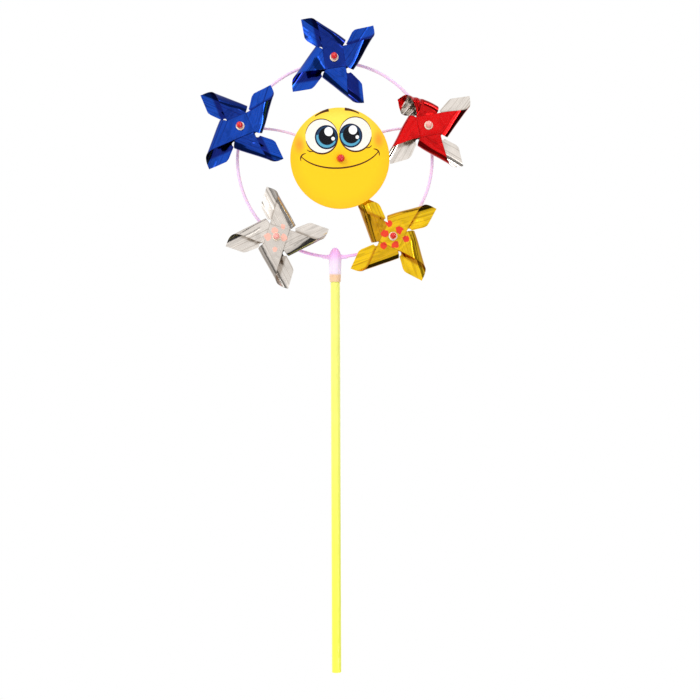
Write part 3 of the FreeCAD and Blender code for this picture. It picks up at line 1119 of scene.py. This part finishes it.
# ---- build all
# Each wheel has its own hand, quarter turns and ripple (degrees, length). The
# other values are one for each petal, in the order of folding: tone of the folded
# half (a painted reflection level), width of the painted shade band beside the fold,
# swing and tilt of the strip in degrees, lift of the outer end, share by which it is
# crushed, and strength of the ripple.
WHEEL_STYLE = {
    "top": {
        "hand": 1, "quarter": 1, "ripple": ((1.4, 8.0), (0.8, 4.2)),
        "tone": (1.0, 0.8, 0.62, 0.3), "shade_band": (5.5, 9.0, 4.0, 3.5),
        "swing": (-0.5, -3.3, 3.9, 1.7), "strip": (5, -4, 5, -6),
        "lift": (0.5, 1.5, -0.5, 0.8), "wavy": (0.7, 1.0, 1.3, 0.7),
    },
    "upper_left": {
        "hand": 1, "quarter": 2, "ripple": ((1.6, 6.5), (1.0, 3.1)),
        "tone": (0.6, 0.9, 0.4, 0.8), "shade_band": (4.0, 3.0, 4.0, 5.0),
        "swing": (1.5, 3.5, -1.1, 0.0), "strip": (-5, 4, 6, -4),
        "lift": (0.8, 0.5, 0.5, 2.0), "wavy": (2.2, 1.2, 1.2, 1.4),
    },
    "lower_left": {
        "hand": 1, "quarter": 2, "ripple": ((2.6, 5.6), (1.6, 2.9)),
        "tone": (0.9, 0.8, 0.95, 0.85), "shade_band": (2.0, 1.5, 1.5, 3.0),
        "swing": (-2.3, 0.0, -2.3, 0.0), "strip": (4, -3, 3, -2),
        "lift": (1.0, -0.6, 1.0, 0.6), "wavy": (1.2, 1.4, 1.0, 1.2),
    },
    "lower_right": {
        "hand": -1, "quarter": 0, "ripple": ((2.0, 6.4), (1.6, 3.4)),
        "tone": (0.9, 0.7, 0.35, 0.85), "shade_band": (2.5, 1.5, 3.0, 1.5),
        "swing": (1.7, -1.1, -1.7, 2.5), "strip": (3, -2, 4, 2),
        "lift": (0.8, 0.5, -0.8, 0.5), "wavy": (1.4, 0.8, 3.0, 1.0),
    },
    "upper_right": {
        "hand": 1, "quarter": 0, "ripple": ((1.8, 7.4), (1.0, 3.6)),
        "tone": (0.6, 1.0, 0.85, 1.0), "shade_band": (2.0, 1.5, 1.0, 2.0),
        "swing": (12.0, 4.2, 2.6, -2.8), "strip": (3, -2, -3, 2),
        "lift": (1.5, 0.5, 0.5, 0.5), "short": (0.33, 0, 0, 0), "wavy": (1.6, 0.8, 0.8, 0.6),
    },
}


for place, style in enumerate(WHEEL_STYLE.values(), 1):
    style["seed"] = 10 * place
    style.setdefault("short", (0, 0, 0, 0))


def build_wheels(ivory, rose, ruby):
    blue = foil_material("foil_blue", FOIL_BLUE, seed=1)
    red = foil_material("foil_red", FOIL_RED, seed=2)
    gold = foil_material("foil_gold", FOIL_GOLD, seed=3)
    gold_print = foil_material("foil_gold_printed", FOIL_GOLD, PRINT_ORANGE, ORANGE_BLOBS, seed=3)
    silver = foil_material("foil_silver", FOIL_SILVER, seed=4, dullest=0.24)
    silver_print = foil_material("foil_silver_printed", FOIL_SILVER, PRINT_PINK, PINK_BLOBS,
                                 seed=4, dullest=0.24)
    looks = {
        "top": (blue, blue, "foil_blue", ruby),
        "upper_left": (blue, blue, "foil_blue", ruby),
        "lower_left": (silver, silver_print, "foil_silver", rose),
        "lower_right": (gold, gold_print, "foil_gold", ruby),
        "upper_right": (silver, red, "foil_red", rose),
    }
    for name in WHEELS:
        outside, inside, slot, pin_material = looks[name]
        foil_sheet(name, WHEEL_STYLE[name], outside, inside)
        hub_bush(name, ivory)
        push_collar(name, ivory)
        pin = headed_pin("pin_" + name, "red_pin_" + name, "spin_" + name, PIN_HEAD, pin_material)


def build():
    ivory = plastic_material("ivory_plastic", IVORY, 0.3, subsurface=0.2)
    rose = plastic_material("rose_plastic", ROSE, 0.16, subsurface=0.3, coat=0.5)
    ruby = plastic_material("ruby_plastic", RUBY, 0.16, subsurface=0.3, transmission=0.25, coat=0.5)
    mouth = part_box("hoop_frame")[0].z
    stick_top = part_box("stick")[1].z
    socket_bands = ((mouth + 24 * MM, mouth + 32 * MM, SOCKET_PINK),
                    (mouth + 13 * MM, mouth + 22 * MM, SOCKET_PALE),
                    (stick_top - 3 * MM, stick_top - 0.5 * MM, SOCKET_PEACH))
    pink = plastic_material("pink_plastic", HOOP_PINK, 0.20, subsurface=0.3, transmission=0.1,
                            bands=socket_bands)
    # The stick's rim colour is a painted sheen at grazing angles.
    yellow = plastic_material("lemon_plastic", LEMON, 0.25, subsurface=0.3, flow=0.8,
                              bands=((0.0, stick_top, LEMON_DEEP),), rim=LEMON_PAINTED_SHEEN)
    build_wheels(ivory, rose, ruby)
    headed_pin("face_pin", "nose_pin", "turn_face", NOSE_HEAD, ruby)
    stick_tube(yellow)
    hoop_moulding(pink)
    plate, radius, front = face_plate(face_material("face_sheet"))
    inks = {name: ink_material("ink_" + name, tint) for name, tint in INKS.items()}
    face_print(inks, radius, front)


# ---- stage and lights
def floor():
    """A wide pale floor that fades into the white surround."""
    points, faces = lathe_data([(0, 0), (0.5, 0), (2.0, 0), (8.0, 0)], 96)
    mesh = mesh_of("floor", points, faces, Matrix.Translation((0, 0, -0.0005)))
    material, s = new_shader("floor_white")
    surface = principled(s, Base_Color=(0.9, 0.9, 0.9), Roughness=0.9,
                         Emission_Color=(1.0, 1.0, 1.0), Emission_Strength=0.45)
    through = s.node("BsdfTransparent")
    underside = s.node("NewGeometry").outputs["Backfacing"]
    s.choose(underside, surface.outputs[0], through.outputs[0])
    piece = new_object("floor", mesh, [material])
    piece.visible_glossy = False


# Panels and dark flags that the foil mirrors: around (degrees, from the viewer's
# right towards up), half width, from and to (degrees away from the camera), level.
PANELS = (
    (55, 26, 24, 58, 0.22),
    (68, 10, 18, 22, 3.5),
    (95, 18, 34, 44, 0.15),
    (50, 12, 62, 74, 9.0),
    (143, 40, 24, 180, 0.95),
    (178, 16, 44, 78, 0.20),
    (205, 14, 30, 50, 0.12),
    (236, 30, 26, 112, 0.14),
    (312, 44, 50, 138, 0.025),
    (334, 12, 52, 64, 8.0),
    (322, 13, 32, 44, 2.4),
    (15, 16, 66, 76, 0.05),
)
PANEL_EDGE = 2.0


def panel_mask(s, around, off_axis, panel):
    """1 inside a panel, with edges a couple of degrees soft."""
    place, half, near, far, _ = panel
    apart = s.math("COSINE", s.less(around, radians(place)))
    inside = s.smooth(apart, cos(radians(half + PANEL_EDGE)),
                      cos(radians(half - PANEL_EDGE)))
    beyond = s.smooth(off_axis, near - PANEL_EDGE, near + PANEL_EDGE)
    before = s.less(1.0, s.smooth(off_axis, far - PANEL_EDGE, far + PANEL_EDGE))
    return s.times(inside, s.times(beyond, before))


def studio_sky():
    """White all round for the eye; mirrors see a studio of panels and dark flags."""
    world = bpy.data.worlds.new("studio")
    scene.world = world
    world.use_nodes = True
    s = Shader(world.node_tree, "OutputWorld")
    direction = s.node("TexCoord").outputs["Generated"]
    x, y, z = s.parts(direction)
    off_axis = s.math("DEGREES", s.math("ARCCOSINE", s.times(y, -1.0)))
    around = s.math("ARCTAN2", z, x)
    front = s.remap(s.noise(direction, 5.0), 0.72, 1.12, start=0.36, end=0.64)
    level = s.mix_value(s.smooth(off_axis, 24.0, 60.0), front, 0.6)
    level = s.mix_value(s.smooth(off_axis, 115.0, 140.0), level, 1.0)
    for panel in PANELS:
        level = s.mix_value(panel_mask(s, around, off_axis, panel), level, panel[4])

    mirrored = s.node("LightPath").outputs["Is Glossy Ray"]
    plain = s.node("Background", {"Color": (1.0, 1.0, 1.0), "Strength": 1.0})
    studio = s.node("Background", {"Color": (1.0, 1.0, 1.0), "Strength": level})
    s.choose(mirrored, plain.outputs[0], studio.outputs[0])


def softbox():
    """One large soft light, up and to the left of the viewer."""
    light = bpy.data.lights.new("key", "AREA")
    light.shape = "DISK"
    light.size = 0.9
    light.energy = 14.0
    lamp = bpy.data.objects.new("key", light)
    lamp.location = (-0.9, -1.3, 1.2)
    lamp.rotation_mode = "QUATERNION"
    middle = (cad_low + cad_high) / 2
    lamp.rotation_quaternion = (middle - lamp.location).to_track_quat("-Z", "Y")
    lamp.visible_glossy = False
    scene.collection.objects.link(lamp)


CAMERA_DISTANCE = 1.1
CAMERA_AIM = Vector((0.0109, 0, 0.2415))
CAMERA_ROLL = 0.2  # degrees
VIEW_WIDTH = 0.525  # of the picture, at the hoop's plane


def camera():
    """Level with the middle of the toy, a metre or so in front of it."""
    data = bpy.data.cameras.new("camera")
    data.sensor_width = 36.0
    data.lens = data.sensor_width * CAMERA_DISTANCE / VIEW_WIDTH
    data.clip_start = 0.01
    data.clip_end = 50.0
    eye = bpy.data.objects.new("camera", data)
    eye.location = CAMERA_AIM - Vector((0, CAMERA_DISTANCE, 0))
    eye.rotation_euler = (pi / 2, radians(CAMERA_ROLL), 0)
    scene.collection.objects.link(eye)
    scene.camera = eye


build()
floor()
studio_sky()
softbox()
camera()
scene.view_settings.view_transform = "Standard"
